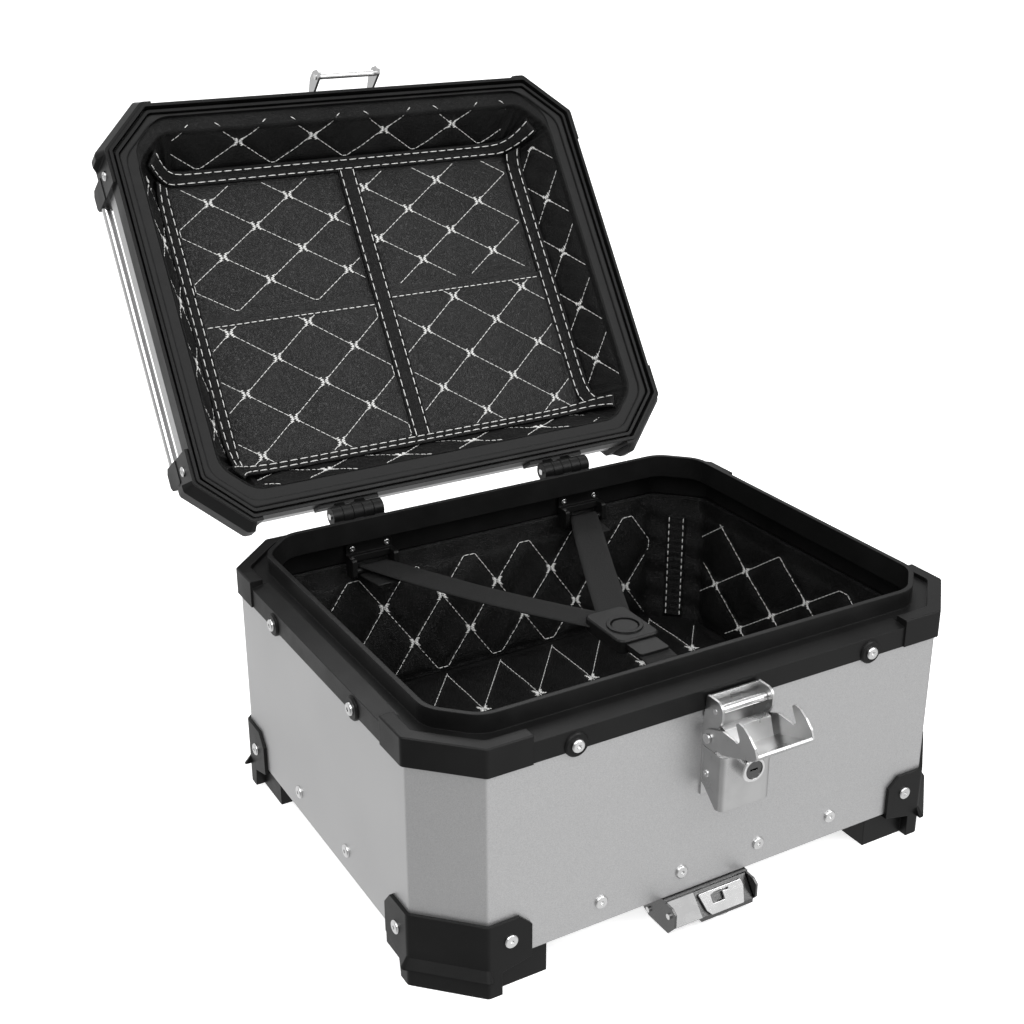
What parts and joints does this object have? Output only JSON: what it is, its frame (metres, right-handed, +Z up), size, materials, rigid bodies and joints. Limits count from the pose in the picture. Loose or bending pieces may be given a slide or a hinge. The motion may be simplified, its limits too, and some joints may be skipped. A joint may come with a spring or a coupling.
{
  "type": "motorcycle top case",
  "caption": "Hard box-shaped motorcycle top case with chamfered corners, hinged lid, front latch, quilted lining and luggage straps.",
  "frame": {"origin": "centre of the rack bolt pattern, on the underside of the aluminium box", "axes": "+Z up, +X to the right seen from the front, -Y towards the latch side"},
  "size_m": [0.448, 0.6651, 0.5014],
  "materials": {
    "aluminium": "satin bead-blasted sheet",
    "black_plastic": "fine-grained moulded plastic",
    "satin_steel": "stamped stainless, satin",
    "bright_steel": "polished stainless",
    "chrome": "bright plated",
    "seal_rubber": "soft matt rubber",
    "quilted_leatherette": "black grained leatherette, quilted with white thread",
    "webbing": "black woven polyester webbing"
  },
  "bodies": {
    "root": {"body_shell": "aluminium", "body_rim": "black_plastic", "docking_hooks": "black_plastic", "corner_protector_front_left": "black_plastic", "corner_protector_front_right": "black_plastic", "corner_protector_rear_left": "black_plastic", "corner_protector_rear_right": "black_plastic", "hinge_leaf_body_left": "black_plastic", "hinge_leaf_body_right": "black_plastic", "strap_bracket_left": "black_plastic", "strap_bracket_right": "black_plastic", "strap_bracket_front": "black_plastic", "buckle_body": "black_plastic", "buckle_tongue": "black_plastic", "latch_base": "satin_steel", "latch_cover": "satin_steel", "bottom_plate": "satin_steel", "base_latch_bracket": "satin_steel", "rim_screws": "bright_steel", "body_rivets": "bright_steel", "protector_rivets": "bright_steel", "cover_screws": "bright_steel", "bracket_screws": "bright_steel", "latch_pivots": "bright_steel", "base_latch_pins": "bright_steel", "hinge_pin_left": "bright_steel", "hinge_pin_right": "bright_steel", "latch_roller": "bright_steel", "lock_barrel": "chrome", "base_latch_housing": "chrome", "body_liner": "quilted_leatherette", "liner_floor": "quilted_leatherette", "strap_left": "webbing", "strap_right": "webbing", "strap_front": "webbing"},
    "lid": {"hinge_leaf_lid_left": "black_plastic", "hinge_leaf_lid_right": "black_plastic", "lid_shell": "aluminium", "lid_rim": "black_plastic", "lid_corner_front_left": "black_plastic", "lid_corner_front_right": "black_plastic", "lid_corner_rear_left": "black_plastic", "lid_corner_rear_right": "black_plastic", "side_rail_left": "bright_steel", "side_rail_right": "bright_steel", "lid_screws": "bright_steel", "lid_seal": "seal_rubber", "lid_liner": "quilted_leatherette", "lid_panel": "quilted_leatherette", "striker_bracket": "satin_steel", "striker_bar": "bright_steel"},
    "latch_lever": {"latch_lever": "satin_steel"},
    "lock_plug": {"lock_plug": "chrome"},
    "release_plate": {"base_latch_plate": "chrome"},
    "base_knob": {"base_latch_knob": "chrome"},
    "buckle_button": {"buckle_button": "black_plastic"}
  },
  "joints": [
    {"name": "lid_hinge", "type": "hinge", "parent": "root", "child": "lid", "pos_m": [0, 0.1886, 0.1583], "axis": [1, 0, 0], "range_deg": [0, 124]},
    {"name": "latch_lever_hinge", "type": "hinge", "parent": "root", "child": "latch_lever", "pos_m": [0, -0.1815, 0.121], "axis": [-1, 0, 0], "range_deg": [0, 58]},
    {"name": "lock_turn", "type": "hinge", "parent": "root", "child": "lock_plug", "pos_m": [0, -0.195, 0.101], "axis": [0, -1, 0], "range_deg": [0, 90]},
    {"name": "release_plate_hinge", "type": "hinge", "parent": "root", "child": "release_plate", "pos_m": [0, -0.1776, -0.0041], "axis": [-1, 0, 0], "range_deg": [0, 30]},
    {"name": "base_knob_turn", "type": "hinge", "parent": "root", "child": "base_knob", "pos_m": [-0.002, -0.174, -0.02], "axis": [0, 0, -1], "range_deg": [0, 90]},
    {"name": "buckle_press", "type": "slide", "parent": "root", "child": "buckle_button", "axis": [0, 0, -1], "range_m": [0, 0.002], "stiffness_N_per_m": 300, "springref_m": -0.003}
  ]
}
